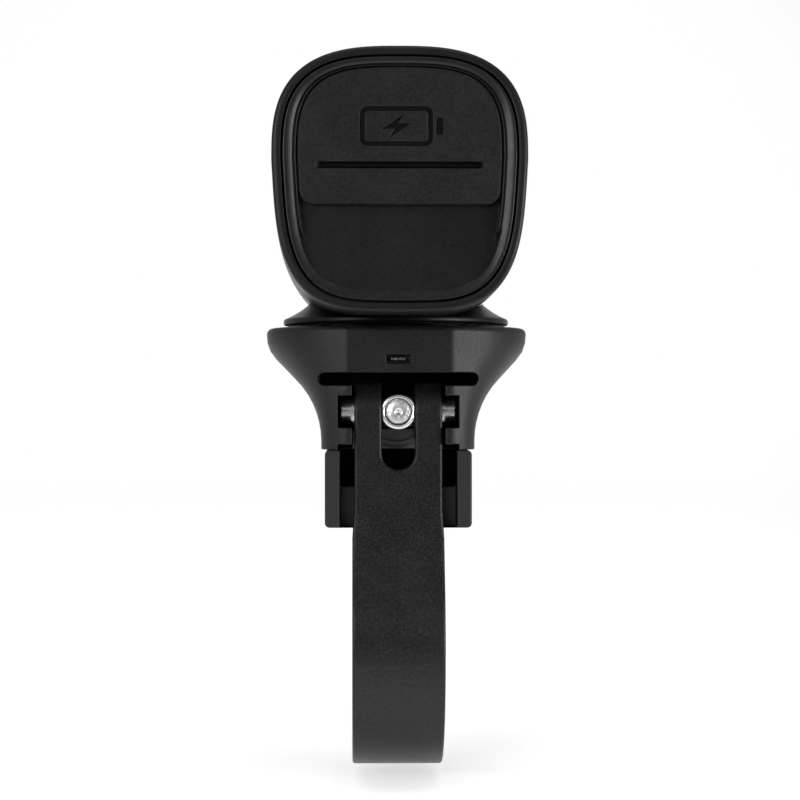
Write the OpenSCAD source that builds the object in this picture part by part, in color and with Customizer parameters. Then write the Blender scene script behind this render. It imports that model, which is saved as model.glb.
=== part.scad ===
// Bike headlight on a strap bracket.
// The handlebar's axis is X through the origin, the beam points along +Y, and Z is up.

/* [Handlebar strap] */
// Diameter of the handlebar that the strap goes round
bar_d = 35; // [30:0.5:38]
// Width of the strap
strap_w = 13.8; // [12:0.1:14.2]
// How much narrower the strap is at its two ends
strap_taper = 0.6; // [0:0.1:1]
// Thickness of the strap
strap_t = 2; // [1.6:0.1:2.4]
// Width of the long slot in the strap's rear end
strap_slot_w = 5; // [4.9:0.1:5.6]
// How far the slot reaches below the barrel nut's axis
strap_slot_drop = 8.7; // [7:0.1:10]
// How far the strap lies behind the bracket's rear face
strap_recess = 1; // [0.4:0.1:1.2]
// Play between the bar and the shoe while the strap is slack
strap_play = 4.6; // [3:0.1:6]

/* [Clamp screw] */
// Diameter of the clamp bolt
bolt_d = 4; // [3:0.1:4]
// Diameter of the barrel nut
barrel_d = 4.4; // [4:0.1:5]
// Length of the barrel nut
barrel_len = 17.3; // [16:0.1:18]
// Diameter of the boss that holds the nut's thread
boss_d = 5.4; // [5.2:0.1:5.6]
// Width of the boss across its two flats
boss_flats = 4.7; // [4.5:0.1:4.8]
// Diameter of the thumb knob
knob_d = 17; // [13:0.5:18]
// Length of the thumb knob
knob_len = 10.5; // [8:0.5:13]
// Number of flutes round the knob
knob_flutes = 9; // [6:1:12]
// Thickness of the washer under the knob
knob_washer_t = 0.8; // [0.6:0.1:1.2]

/* [Saddle shoe] */
// Width of the shoe
shoe_w = 22; // [21:0.1:22.6]
// Thickness of the shoe above the bar
shoe_t = 7.3; // [6.5:0.1:8]
// Height of the shoe's cheeks
shoe_h = 11.6; // [10.5:0.1:12]
// Width of the channel that the strap runs in
shoe_channel_w = 17.4; // [16:0.1:18]
// Height of the shoe's floor at its rear edge
shoe_floor_h = 6.3; // [5:0.1:7]

/* [Bracket] */
// Width of the bracket's neck
neck_w = 23.2; // [22.8:0.1:25]
// Width of the bracket's top plate
plate_w = 40.7; // [38:0.1:43]
// Height of the bracket
bracket_h = 18.6; // [18.2:0.1:20]
// Height of the barrel nut above the bracket's lower face
barrel_rise = 5.7; // [5.4:0.1:6]
// Distance from the bar's axis back to the bracket's rear face
bracket_back = 15; // [14.8:0.1:16]
// Distance from the bar's axis forward to the neck's front face
neck_front = 15.6; // [15:0.1:16]
// Distance from the bar's axis forward to the plate's front edge
plate_front = 27.5; // [26:0.5:30]
// Height of the neck's straight part at its sides
neck_h = 1.2; // [0.6:0.1:1.6]
// Radius of the hollow curve under the plate
flare_r = 13; // [11:0.5:14]
// Radius of the plate's upper edge
plate_edge_r = 0.9; // [0.5:0.1:1.2]
// Share of each rear facet that curves round into the bracket's side
side_bow = 0.8; // [0.4:0.05:0.8]
// Radius of the round lip of the plate
lip_r = 5; // [4:0.5:5.5]

/* [Swivel] */
// Distance from the bar's axis forward to the swivel axis
swivel_y = 8; // [7:0.1:8.4]
// Radius of the foot under the head
foot_r = 17.9; // [16.5:0.1:18.5]
// Height of the foot's straight edge
foot_edge = 0.95; // [0.8:0.05:1.2]
// Gap that shows between the foot and the bracket
foot_gap = 0.65; // [0.5:0.05:0.9]
// Radius of the foot's stem
stem_r = 5; // [4.6:0.1:5.2]
// Thickness of the bracket's web round the stem
web_t = 6; // [5.6:0.1:6.2]

/* [Head] */
// Width of the head at its rear ring
head_w = 37.06; // [35:0.1:39]
// Height of the head at its rear ring
head_h = 38.4; // [37:0.1:41]
// Height of the widest line above the head's underside
head_waist = 22.1; // [21.5:0.1:23]
// Squareness of the head's upper half
top_square = 2.85; // [2.6:0.05:3.1]
// Squareness of the head's lower half
low_square = 3.6; // [3.2:0.1:4]
// Share by which the head narrows towards its underside
low_taper = 0.065; // [0:0.005:0.1]
// Swell of the head's sides and top along its length
crown = 0.6; // [0:0.1:0.9]
// Distance from the bar's axis back to the head's rear face
head_back = 26; // [25:0.5:28]
// Length of the head shell
shell_len = 71; // [69:0.5:74]
// Wall of the head shell
shell_wall = 2; // [1.8:0.1:2.2]
// Width of the ring that the shell shows round the rear cap
ring_w = 1.33; // [1.2:0.05:1.5]
// Least length of the heat sink's finned part
sink_min_len = 12; // [9:0.5:16]
// Number of cooling grooves
sink_grooves = 5; // [3:1:6]
// Length of the front bezel
bezel_len = 9.7; // [9:0.1:12]

/* [Rear end] */
// Width of the rear cap's rim
rim_w = 1.95; // [1.7:0.05:2.2]
// Height of the port cover's hinge above the head's underside
hinge_rise = 21.2; // [20.5:0.1:22]
// Height of the port tab below the hinge
tab_h = 5.65; // [5.3:0.05:6]
// Thickness of the port cover
cover_t = 1.8; // [1.6:0.1:2]
// Length of the groove along the hinge
groove_len = 24; // [20:0.5:25]
// Depth of the recess in front of the charging socket
port_depth = 4.6; // [4.4:0.1:5]
// Width of the charging recess
port_w = 12.6; // [11:0.1:13]

/* [Inside the head] */
// Diameter of the battery cell
cell_d = 18.4; // [17:0.1:18.6]
// Length of the battery cell
cell_len = 65; // [60:0.5:66]
// Width of the main board
board_w = 24; // [20:0.5:25]
// Thickness of the boards
board_t = 1.2; // [0.8:0.1:1.6]
// Radius of the reflector's mouth
reflector_r = 12.6; // [11:0.1:12.8]
// Thickness of the lens
lens_t = 1.8; // [1.4:0.1:2.2]

/* [Power button] */
// Length of the button
button_len = 15; // [12:0.5:17]
// Width of the button
button_w = 7.6; // [6:0.1:8.5]
// Travel of the button
button_travel = 0.8; // [0.5:0.1:1]

/* [Fits] */
// Radial clearance of running fits
run_gap = 0.05; // [0.02:0.01:0.08]
// Gap between pieces that are fixed together
seat_gap = 0.05; // [0.02:0.01:0.1]
// Gap between pieces that move past each other
move_gap = 0.4; // [0.3:0.05:0.5]

/* [Hidden] */
$fn = 64;
far = 200;
outline_n = 80;
inset_square = 0.1;
plan_steps = 4;

bar_r = bar_d / 2;
strap_out_r = bar_r + strap_t;
bolt_r = bolt_d / 2;
barrel_r = barrel_d / 2;
tip_chamfer = 0.25;
centre_mark_r = 0.5;
eye_r = barrel_r + run_gap;
eye_out_r = eye_r + strap_t + 0.1;

// Heights of the stack above the handlebar
saddle_z = strap_play;
shoe_top = bar_r + strap_play + shoe_t;
bracket_z = shoe_top + seat_gap;
barrel_z = bracket_z + barrel_rise;
plate_z = bracket_z + bracket_h;
foot_z = plate_z + foot_gap;
web_z = plate_z - web_t;
head_z = foot_z + foot_edge - 0.1;
waist_z = head_z + head_waist;
top_h = head_h - head_waist;
hinge_z = head_z + hinge_rise;

// Depths along the beam
barrel_y = -bracket_back + strap_recess + eye_out_r;
strap_back = barrel_y - eye_out_r;
tab_in = neck_front + 3 * move_gap;
tab_out = tab_in + strap_t;
knob_washer_y = tab_out + 1.5 * move_gap;
knob_washer_r = 6.5;
knob_y = knob_washer_y + knob_washer_t + seat_gap;
shell_front = shell_len - head_back;
sink_y = shell_front + seat_gap;
crown_mid = (shell_front - head_back) / 2;

// Strap: where its straight legs leave the round part
bend_z = bar_r - 1.3;
tab_top = barrel_z + 3.7;
cavity_r = eye_out_r + move_gap;
cavity_w = strap_w - strap_taper + 2 * move_gap;
fork_w = bolt_d + 2 * move_gap;
tab_sweep_r = tab_in - barrel_y - move_gap;

// Bracket openings on the rear face
pocket_w = barrel_len + 0.84;
pocket_r = barrel_r + 0.21;
stub_h = 2.46;
slot_w = 24.2;
slot_h = 1.94;
slot_z = barrel_z + 4.9;
window_w = 3.7;
window_h = 1.34;
window_z = barrel_z + 7.88;
leaf_w = 2.2;
leaf_t = 0.45;
facet_half = 8;
facet_tilt = 27.5;
plan_r = 2.4;
flare_tilt = 45;
pivot_well_r = stem_r + 1.6;
washer_r = 13;
washer_t = 1;
relief_r = knob_d / 2 + 2 * move_gap;
collar_r = 6.4;
collar_step = 0.9;
front_t = 9;
front_curve_r = 4;
peg_r = 1.2;
peg_h = 3;
peg_x = neck_w / 2 - 2.4;
peg_ys = [swivel_y - 1, barrel_y + 4.6];

// Foot and its fasteners
foot_curve_r = 12;
foot_seat_r = 12;
foot_seat_z = foot_z + 2.85;
pad_z = foot_seat_z + 2.6;
foot_screw_pcd = 18;
foot_screw_r = 1.25;
foot_head_r = 2.4;
foot_head_h = 1.15;
pivot_screw_r = 1.5;
pivot_head_r = 2.7;
stem_z = web_z - 0.2;
pivot_washer_t = 1;

// Rear end
cap_inset = ring_w + 0.35;
pocket_inset = cap_inset + rim_w;
cover_inset = pocket_inset + 0.1;
pocket_lift = 0.6;
rim_y = -head_back - 0.15;
cover_y = -head_back + 0.25;
floor_y = cover_y + cover_t + seat_gap;
cap_floor_t = 2.4;
cap_wall = 1.6;
step_y = -head_back + 2.8;
seal_t = 0.5;
port_y = floor_y + port_depth;
port_h = tab_h - 1.3;
port_z = hinge_z - 0.15 - tab_h / 2;
cap_front = port_y + 1.8;
bead_r = 0.4;
hinge_y = cover_y + bead_r + 0.05;
hinge_gap = 0.5;
tab_corner_r = 1.9;
tab_low = hinge_z - tab_h;
scoop_low = head_z + 2;
cap_screw_x = 10.5;
cap_screw_z = waist_z + 0.45 * top_h;
cap_screw_r = 1.25;
cap_head_r = 2.2;
cap_head_h = 1.2;
lug_r = 2.6;

// Charging socket
socket_w = 8.9;
socket_h = 3.26;
socket_len = 6.6;
socket_wall = 0.35;
tongue_w = 6.6;
tongue_t = 0.7;
port_board_y = port_y + socket_len + seat_gap;
port_board_w = 17.6;
port_board_h = 15;
lug_front = port_board_y + board_t + 0.6;

// Inside the head
cell_r = cell_d / 2;
cell_y = port_board_y + board_t + 0.8;
cell_front = cell_y + cell_len;
cell_z = pad_z + 0.8 + cell_r;
cradle_w = 19;
cradle_top = pad_z + 6;
cradle_front = shell_front - 8;
cradle_rib = 6;
cradle_open = 8;
cradle_floor = 1.2;
terminal_r = 2.8;
rail_z = cell_z + cell_r + 0.4;
rail_t = 1.2;
board_z = rail_z + rail_t + seat_gap;
sink_plate_t = 2;
led_room = 2;
cell_play = 0.5;
sink_front = max(sink_y + sink_min_len, cell_front + cell_play + sink_plate_t + led_room);
sink_len = sink_front - sink_y;
plate_y = sink_front - led_room - sink_plate_t;
bezel_y = sink_front + seat_gap;
bezel_front = bezel_y + bezel_len;
led_board_y = plate_y + sink_plate_t + seat_gap;
led_y = led_board_y + board_t + seat_gap;
beam_z = head_z + head_h / 2;
led_board_r = 10;
throat_r = 2.6;
lens_y = bezel_front - 1.2 - lens_t;
lens_inset = 1.75;
seal_y = lens_y - seat_gap - 0.8;
flange_y = seal_y - seat_gap - 1;
groove_pitch = (sink_len - 2.6) / sink_grooves;
groove_w = 1.1;
groove_d = 1.5;

// Power button, on top of the shell
button_y = 4;
shell_top = waist_z + top_h + crown;
frame_lip = 1.5;
frame_h = 3;
frame_z = shell_top + 0.3 - frame_h;
button_top = shell_top + 0.9;
flange_t = 1.2;
button_flange_z = frame_z - 0.3 - flange_t;
switch_h = 3.4;
switch_w = 6;
plunger_r = 1.6;
switch_top = board_z + board_t + seat_gap + switch_h + 0.8;
status_y = button_y - 15;
status_len = 7;
status_w = 1.8;

// Extrudes a profile drawn in (x, z) from y0 to y1
module along_y(y0, y1) {
    translate([0, y1, 0])
        rotate([90, 0, 0])
            linear_extrude(y1 - y0)
                children();
}

// Extrudes a profile drawn in (y, z) over a width centred on x = 0
module along_x(width) {
    translate([-width / 2, 0, 0])
        rotate([90, 0, 90])
            linear_extrude(width)
                children();
}

// A rod along Y from y0 to y1
module rod_y(r, y0, y1) {
    translate([0, y0, 0])
        rotate([-90, 0, 0])
            cylinder(r = r, h = y1 - y0);
}

// A rod along X, centred on x = 0
module rod_x(r, width) {
    rotate([0, 90, 0])
        cylinder(r = r, h = width, center = true);
}

// A box with given lowest and highest corners
module box(low, high) {
    translate(low)
        cube(high - low);
}

// A closed skin through rings of equal count
module skin(rings) {
    n = len(rings[0]);
    m = len(rings);
    points = [for (ring = rings) each ring];
    sides = [for (k = [0 : m - 2], i = [0 : n - 1])
        let (a = k * n + i, b = a + n, d = k * n + (i + 1) % n, c = d + n)
        each [[a, b, c], [a, c, d]]];
    first = [for (i = [0 : n - 1]) i];
    last = [for (i = [n - 1 : -1 : 0]) (m - 1) * n + i];
    polyhedron(points = points, faces = concat([first], sides, [last]), convexity = 8);
}

// A rectangle with round corners, centred on the origin
function round_rect(w, h, r, steps = 6) = [for (q = [0 : 3], k = [0 : steps])
    let (a = 90 * q + 90 * k / steps, sx = q == 0 || q == 3 ? 1 : -1, sz = q < 2 ? 1 : -1)
    [sx * (w / 2 - r) + r * cos(a), sz * (h / 2 - r) + r * sin(a)]];

// The head's outline in (x, z), drawn in by inset, swollen at its sides and top by grow, and
// raised at its top by lift
function head_outline(inset = 0, grow = 0, lift = 0) = [for (i = [0 : outline_n - 1])
    let (t = 360 * i / outline_n, c = cos(t), s = sin(t), up = s > 0,
        a = head_w / 2 - inset + grow,
        b = up ? top_h - inset + grow + lift : head_waist - inset,
        e = 2 / ((up ? top_square : low_square) + inset_square * inset))
    [sign(c) * a * pow(abs(c), e) * (up ? 1 : 1 - low_taper * pow(abs(s), e)),
        waist_z + sign(s) * b * pow(abs(s), e)]];

function head_ring(y, inset = 0, grow = 0) =
    [for (p = head_outline(inset, grow)) [p[0], y, p[1]]];

// Swell of the shell at a depth: none at its two ends, full at its middle
function swell(y) = crown * (1 - pow((y - crown_mid) / (shell_front - crown_mid), 2));

// A prism of the head's outline
module head_prism(inset, y0, y1, lift = 0) {
    along_y(y0, y1)
        polygon(head_outline(inset, 0, lift));
}

// Half width of a wall that is straight, curves out, runs at the flare's slope and ends in a lip
function flare(z, z_low, low, high, hollow_r, round_r) =
    let (s = sin(flare_tilt), c = 1 - cos(flare_tilt),
        run = high - low - c * (hollow_r + round_r),
        z1 = z_low + s * hollow_r, z2 = z1 + run, z3 = z2 + s * round_r)
    z <= z_low ? low :
    z <= z1 ? low + hollow_r - sqrt(pow(hollow_r, 2) - pow(z - z_low, 2)) :
    z <= z2 ? low + c * hollow_r + z - z1 :
    z < z3 ? high - round_r + sqrt(pow(round_r, 2) - pow(z3 - z, 2)) : high;

// Plan of the bracket: flat faces, each with the angle of its normal and its distance from the
// bar's axis, met by round corners
function plan_ring(z, side, front, inset) =
    let (w = side - inset, f = front - inset, back = bracket_back - inset,
        slant = facet_half * sin(facet_tilt) + back * cos(facet_tilt),
        corner = (w + f) * sin(45) * 0.84,
        bow = side_bow * (w - facet_half) / cos(facet_tilt) / tan(45 - facet_tilt / 2),
        faces = [[0, w], [45, corner], [90, f], [135, corner], [180, w],
            [270 - facet_tilt, slant], [270, back], [270 + facet_tilt, slant]])
    [for (i = [0 : 7])
        let (a = faces[i][0], e = i == 7 ? 360 : faces[i + 1][0], turn = sin(e - a),
            wide = i == 4 || i == 7, r = wide ? bow : plan_r, steps = wide ? 2 * plan_steps : plan_steps,
            p = faces[i][1] - r, q = faces[(i + 1) % 8][1] - r,
            mid = [p * sin(e) - q * sin(a), q * cos(a) - p * cos(e)] / turn)
        for (k = [0 : steps])
            let (t = a + (e - a) * k / steps)
            [mid[0] + r * cos(t), mid[1] + r * sin(t), z]];

module bracket_form() {
    side_low = bracket_z + neck_h;
    front_low = plate_z - front_t;
    steps = 13;
    turns = 4;
    rise = (plate_z - plate_edge_r - bracket_z) / steps;
    heights = concat([for (k = [0 : steps]) bracket_z + rise * k],
        [for (k = [1 : turns]) plate_z - plate_edge_r * (1 - sin(90 * k / turns))]);
    insets = concat([for (k = [0 : steps]) 0],
        [for (k = [1 : turns]) plate_edge_r * (1 - cos(90 * k / turns))]);
    skin([for (k = [0 : len(heights) - 1])
        plan_ring(heights[k], flare(heights[k], side_low, neck_w / 2, plate_w / 2, flare_r, lip_r),
            flare(heights[k], front_low, neck_front, plate_front, front_curve_r, front_curve_r),
            insets[k])]);
}

// Everything that is cut from the rear of the bracket for the strap, the nut and the spring
module rear_openings() {
    front = -far;
    box([-cavity_w / 2, front, bracket_z - 1], [cavity_w / 2, barrel_y + eye_out_r, barrel_z]);
    translate([0, barrel_y, barrel_z])
        rod_x(cavity_r, cavity_w);
    box([-cavity_w / 2, front, barrel_z], [cavity_w / 2, barrel_y, slot_z]);
    box([-pocket_w / 2, front, barrel_z - pocket_r], [pocket_w / 2, barrel_y, barrel_z + pocket_r]);
    translate([0, barrel_y, barrel_z])
        rod_x(pocket_r, pocket_w);
    box([-pocket_w / 2, front, bracket_z - 1],
        [pocket_w / 2, barrel_y + eye_r, barrel_z - pocket_r - stub_h]);
    along_y(front, barrel_y + eye_out_r)
        translate([0, slot_z])
            polygon(round_rect(slot_w, slot_h, slot_h / 2 - 0.01));
    along_y(front, -bracket_back + 1.6)
        translate([0, window_z])
            polygon(round_rect(window_w, window_h, 0.3));
    box([-leaf_w / 2 - seat_gap, front, window_z - leaf_t / 2 - seat_gap],
        [leaf_w / 2 + seat_gap, swivel_y, window_z + leaf_t / 2 + seat_gap]);
}

module bracket_body() {
    collar_y = barrel_y + cavity_r;
    color([0.05, 0.05, 0.055])
        difference() {
            bracket_form();
            rear_openings();
            translate([0, 0, barrel_z]) {
                rod_y(bolt_r + 0.3, barrel_y, far);
                for (k = [1 : 2])
                    rod_y(collar_r - k * collar_step, barrel_y, collar_y + k * collar_step);
                rod_y(relief_r, neck_front + 0.3, far);
            }
            translate([0, swivel_y, 0]) {
                translate([0, 0, web_z - 1])
                    cylinder(r = stem_r + run_gap, h = web_t + 2);
                translate([0, 0, bracket_z - 1])
                    cylinder(r = pivot_well_r, h = web_z - bracket_z + 1);
                translate([0, 0, plate_z - washer_t])
                    cylinder(r = washer_r + seat_gap, h = washer_t + 1);
            }
            shoe_pegs(seat_gap);
        }
}

// Pegs that hold the shoe in the bracket's underside
module shoe_pegs(gap) {
    for (x = [-peg_x, peg_x], y = peg_ys)
        translate([x, y, shoe_top - 1])
            cylinder(r = peg_r + gap, h = peg_h + 1 + gap, $fn = 32);
}

module saddle_shoe() {
    low = shoe_top - shoe_h;
    floor_back = strap_back + strap_t + move_gap;
    cheek_back = -bracket_back + 0.8;
    color([0.06, 0.06, 0.06])
        difference() {
            union() {
                intersection() {
                    along_y(cheek_back, neck_front)
                        translate([0, (low + shoe_top) / 2])
                            polygon(round_rect(shoe_w, shoe_top - low, 0.7));
                    translate([0, barrel_y, barrel_z])
                        rod_x(tab_sweep_r, far);
                }
                shoe_pegs(0);
            }
            translate([0, 0, saddle_z])
                rod_x(bar_r, far);
            box([-shoe_channel_w / 2, -far, low - 1],
                [shoe_channel_w / 2, floor_back, shoe_top + peg_h]);
            box([-shoe_channel_w / 2, -far, low + shoe_floor_h],
                [shoe_channel_w / 2, barrel_y + eye_out_r, shoe_top + peg_h + 1]);
        }
}

// The chamfered end of a rod along the beam, from its rear face on
module tip_cone(r) {
    rotate([-90, 0, 0])
        cylinder(r1 = r - tip_chamfer, r2 = r, h = tip_chamfer);
}

module barrel_nut() {
    boss_back = -eye_out_r + 0.15;
    color([0.75, 0.75, 0.76])
        translate([0, barrel_y, barrel_z])
            difference() {
                union() {
                    rod_x(barrel_r, barrel_len);
                    intersection() {
                        union() {
                            rod_y(boss_d / 2, boss_back + tip_chamfer, barrel_r + 0.3);
                            translate([0, boss_back, 0])
                                tip_cone(boss_d / 2);
                        }
                        cube([boss_flats, far, far], center = true);
                    }
                }
                rod_y(bolt_r + run_gap, -far, far);
            }
}

module detent_spring() {
    color([0.5, 0.5, 0.5])
        box([-leaf_w / 2, -bracket_back + 0.9, window_z - leaf_t / 2],
            [leaf_w / 2, swivel_y - stem_r - 0.3, window_z + leaf_t / 2]);
}

module swivel_washer() {
    color([0.85, 0.85, 0.8])
        translate([0, swivel_y, plate_z - washer_t + seat_gap])
            difference() {
                cylinder(r = washer_r, h = washer_t + foot_gap / 2 - seat_gap);
                translate([0, 0, -1])
                    cylinder(r = stem_r + 0.3, h = washer_t + 3);
            }
}

// Angle at which a leg's outer face leaves the strap's round part, seen from the bar's axis
function leave_angle(y, side) = atan2(bend_z, y) - side * acos(strap_out_r / norm([y, bend_z]));

// One leg of the strap in (y, z): side is -1 at the rear and 1 at the front. Its outer corner is
// round, or square with a radius of 0 where the leg runs into the eye
module strap_leg(y, side, top, round_r) {
    a = leave_angle(y, side);
    lean = [cos(a), sin(a)];
    root = [cos(a - 3 * side), sin(a - 3 * side)];
    inward = [-side, 0];
    miter = strap_t * (inward - lean) / (1 - inward * lean);
    corner = [for (k = [0 : round_r > 0 ? 6 : 0])
        [y - side * round_r * (1 - cos(15 * k)), top - round_r + round_r * sin(15 * k)]];
    polygon(concat([(strap_out_r - strap_t / 8) * root, strap_out_r * lean, [y, bend_z]], corner,
        [[y - side * strap_t, top], [y, bend_z] + miter, bar_r * lean,
            (bar_r + strap_t / 8) * root]));
}

module strap() {
    rear = leave_angle(strap_back, -1);
    front = leave_angle(tab_out, 1);
    end_half = (strap_w - strap_taper) / 2;
    color([0.07, 0.07, 0.07])
        difference() {
            intersection() {
                union() {
                    difference() {
                        rod_x(strap_out_r, strap_w);
                        rod_x(bar_r, strap_w + 2);
                        along_x(strap_w + 2)
                            polygon([[0, 0], far * [cos(front), sin(front)], [0, far],
                                far * [cos(rear), sin(rear)]]);
                    }
                    along_x(strap_w)
                        strap_leg(strap_back, -1, barrel_z, 0);
                    along_x(strap_w)
                        strap_leg(tab_out, 1, tab_top, strap_t / 2);
                    translate([0, barrel_y, barrel_z])
                        rod_x(eye_out_r, strap_w);
                }
                along_y(-far, far)
                    polygon([[-strap_w / 2, -far], [strap_w / 2, -far], [strap_w / 2, bend_z],
                        [end_half, strap_slot_drop / 2 + bend_z], [end_half, far], [-end_half, far],
                        [-end_half, strap_slot_drop / 2 + bend_z], [-strap_w / 2, bend_z]]);
            }
            translate([0, barrel_y, barrel_z])
                rod_x(eye_r, far);
            slot_low = barrel_z - strap_slot_drop + strap_slot_w / 2;
            translate([0, 0, slot_low])
                rod_y(strap_slot_w / 2, -far, 0);
            box([-strap_slot_w / 2, -far, slot_low],
                [strap_slot_w / 2, 0, far]);
            translate([0, 0, barrel_z])
                rod_y(fork_w / 2, 0, far);
            box([-fork_w / 2, 0, barrel_z], [fork_w / 2, far, far]);
        }
}

module knob_washer() {
    color([0.8, 0.8, 0.8])
        translate([0, 0, barrel_z])
            difference() {
                rod_y(knob_washer_r, knob_washer_y, knob_washer_y + knob_washer_t);
                rod_y(bolt_r + run_gap, -far, far);
            }
}

module clamp_bolt() {
    tip = strap_back + 0.05;
    color([0.8, 0.8, 0.82])
        translate([0, 0, barrel_z])
            difference() {
                union() {
                    rod_y(bolt_r, tip + tip_chamfer, knob_y + knob_len - 2);
                    translate([0, tip, 0])
                        tip_cone(bolt_r);
                }
                translate([0, tip, 0])
                    rotate([-90, 0, 0])
                        cylinder(r1 = centre_mark_r, r2 = 0, h = centre_mark_r, $fn = 24);
            }
}

module clamp_knob() {
    r = knob_d / 2;
    flute_r = knob_d / 9;
    color([0.06, 0.06, 0.06])
        translate([0, knob_y, barrel_z])
            rotate([-90, 0, 0])
                difference() {
                    rotate_extrude()
                        polygon([[0, 0], [r - 1.8, 0], [r - 1.8, 1], [r - 0.8, 1.6], [r, 2.6],
                            [r, knob_len - 1.6], [r - 0.5, knob_len - 0.6], [r - 1.6, knob_len],
                            [r - 3.4, knob_len], [r - 4.4, knob_len - 0.7], [0, knob_len - 0.7]]);
                    for (k = [0 : knob_flutes - 1])
                        rotate(90 + 360 * k / knob_flutes)
                            translate([r + flute_r * 0.55, 0, 1.2])
                                cylinder(r = flute_r, h = knob_len);
                    translate([0, 0, -1])
                        cylinder(r = bolt_r + seat_gap, h = knob_len - 1);
                }
}

// The shell's outer form, with its rear edge rounded, drawn in by inset
module shell_form(inset = 0) {
    edge = 0.8;
    steps = 8;
    mid = [for (k = [steps : -1 : 0]) -head_back + edge + (shell_len - edge) * k / steps];
    skin(concat([for (y = mid) head_ring(y, inset, swell(y))],
        [head_ring(-head_back + edge * 0.3, inset + edge * 0.25, swell(-head_back)),
            head_ring(-head_back, inset + edge * 0.75, swell(-head_back))]));
}

// A stadium standing on the shell's top, along the beam
module top_stadium(len, width, z0, z1, y) {
    translate([0, y, z0])
        linear_extrude(z1 - z0)
            rotate(90)
                polygon(round_rect(len, width, width / 2 - 0.01));
}

module at_foot_screws() {
    for (k = [0 : 2])
        translate([0, swivel_y, 0])
            rotate(90 + 120 * k)
                translate([foot_screw_pcd / 2, 0, 0])
                    children();
}

module at_cap_screws() {
    for (x = [-cap_screw_x, cap_screw_x])
        translate([x, 0, cap_screw_z])
            children();
}

module head_shell() {
    rail_in = board_w / 2 - 1.2;
    color([0.06, 0.06, 0.065])
        difference() {
            union() {
                difference() {
                    shell_form();
                    head_prism(ring_w, -far, step_y);
                    head_prism(shell_wall, -far, far);
                }
                intersection() {
                    head_prism(shell_wall - 0.2, step_y + 1.8, shell_front - 4);
                    union() {
                        translate([0, swivel_y, head_z])
                            cylinder(r = foot_seat_r + 1.5, h = pad_z - head_z);
                        for (s = [-1, 1])
                            box([min(s * rail_in, s * far), cell_y, rail_z],
                                [max(s * rail_in, s * far), shell_front - 6, rail_z + rail_t]);
                        at_cap_screws()
                            rod_y(lug_r, floor_y + cap_floor_t + 1.2, lug_front);
                        for (s = [-1, 1])
                            box([min(s * cap_screw_x, s * far), cap_low_y(), cap_screw_z - 0.8],
                                [max(s * cap_screw_x, s * far), lug_front, cap_screw_z + 0.8]);
                    }
                }
            }
            translate([0, swivel_y, foot_z])
                cylinder(r = foot_seat_r + seat_gap, h = foot_seat_z + seat_gap - foot_z);
            at_foot_screws()
                translate([0, 0, foot_seat_z - 1])
                    cylinder(r = foot_screw_r + seat_gap, h = pad_z - foot_seat_z + 2, $fn = 32);
            at_cap_screws()
                rod_y(cap_screw_r + seat_gap, -far, lug_front + 1);
            top_stadium(button_len + 2 * frame_lip, button_w + 2 * frame_lip,
                waist_z, shell_top + 5, button_y);
            top_stadium(status_len, status_w, waist_z, shell_top + 5, status_y);
        }
}

// Where the shell's lugs for the cap screws begin
function cap_low_y() = floor_y + cap_floor_t + 1.2;

module swivel_foot() {
    a0 = 20;
    a1 = 52;
    cx = foot_r + foot_curve_r * sin(a0);
    cz = foot_z + foot_edge + foot_curve_r * cos(a0);
    curve = [for (k = [0 : 10])
        let (a = a0 + (a1 - a0) * k / 10) [cx - foot_curve_r * sin(a), cz - foot_curve_r * cos(a)]];
    crest = curve[10];
    color([0.04, 0.04, 0.045])
        difference() {
            union() {
                difference() {
                    translate([0, swivel_y, 0])
                        rotate_extrude($fn = 96)
                            polygon(concat([[0, foot_z], [foot_r - 0.25, foot_z], [foot_r, foot_z + 0.25]],
                                curve, [[0, crest[1]]]));
                    shell_form(-seat_gap);
                }
                translate([0, swivel_y, foot_z])
                    cylinder(r = foot_seat_r, h = foot_seat_z - foot_z);
                translate([0, swivel_y, stem_z])
                    cylinder(r = stem_r, h = foot_z - stem_z + 0.1);
            }
            translate([0, swivel_y, stem_z - 1])
                cylinder(r = pivot_screw_r + seat_gap, h = foot_seat_z - stem_z + 2);
            at_foot_screws()
                foot_screw_form(seat_gap);
        }
}

module foot_screw_form(gap) {
    translate([0, 0, foot_z - (gap > 0 ? 0.01 : 0)])
        cylinder(r1 = foot_head_r + gap, r2 = foot_screw_r + gap, h = foot_head_h, $fn = 32);
    translate([0, 0, foot_z + foot_head_h - 0.01])
        cylinder(r = foot_screw_r + gap, h = pad_z - 0.4 - foot_z - foot_head_h, $fn = 32);
}

module foot_screws() {
    color([0.7, 0.7, 0.72])
        at_foot_screws()
            foot_screw_form(0);
}

module pivot_screw() {
    head_top = stem_z - pivot_washer_t - 2 * seat_gap;
    color([0.7, 0.7, 0.72])
        translate([0, swivel_y, 0])
            difference() {
                union() {
                    translate([0, 0, head_top - 1.7])
                        cylinder(r = pivot_head_r, h = 1.7);
                    translate([0, 0, head_top - 0.1])
                        cylinder(r = pivot_screw_r, h = foot_seat_z - 0.6 - head_top);
                }
                translate([0, 0, head_top - 2])
                    cylinder(r = 1.15, h = 1.3, $fn = 6);
            }
}

module pivot_washer() {
    color([0.75, 0.75, 0.76])
        translate([0, swivel_y, stem_z - pivot_washer_t - seat_gap])
            difference() {
                cylinder(r = pivot_well_r - 0.3, h = pivot_washer_t);
                translate([0, 0, -1])
                    cylinder(r = pivot_screw_r + seat_gap, h = pivot_washer_t + 2);
            }
}

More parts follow.
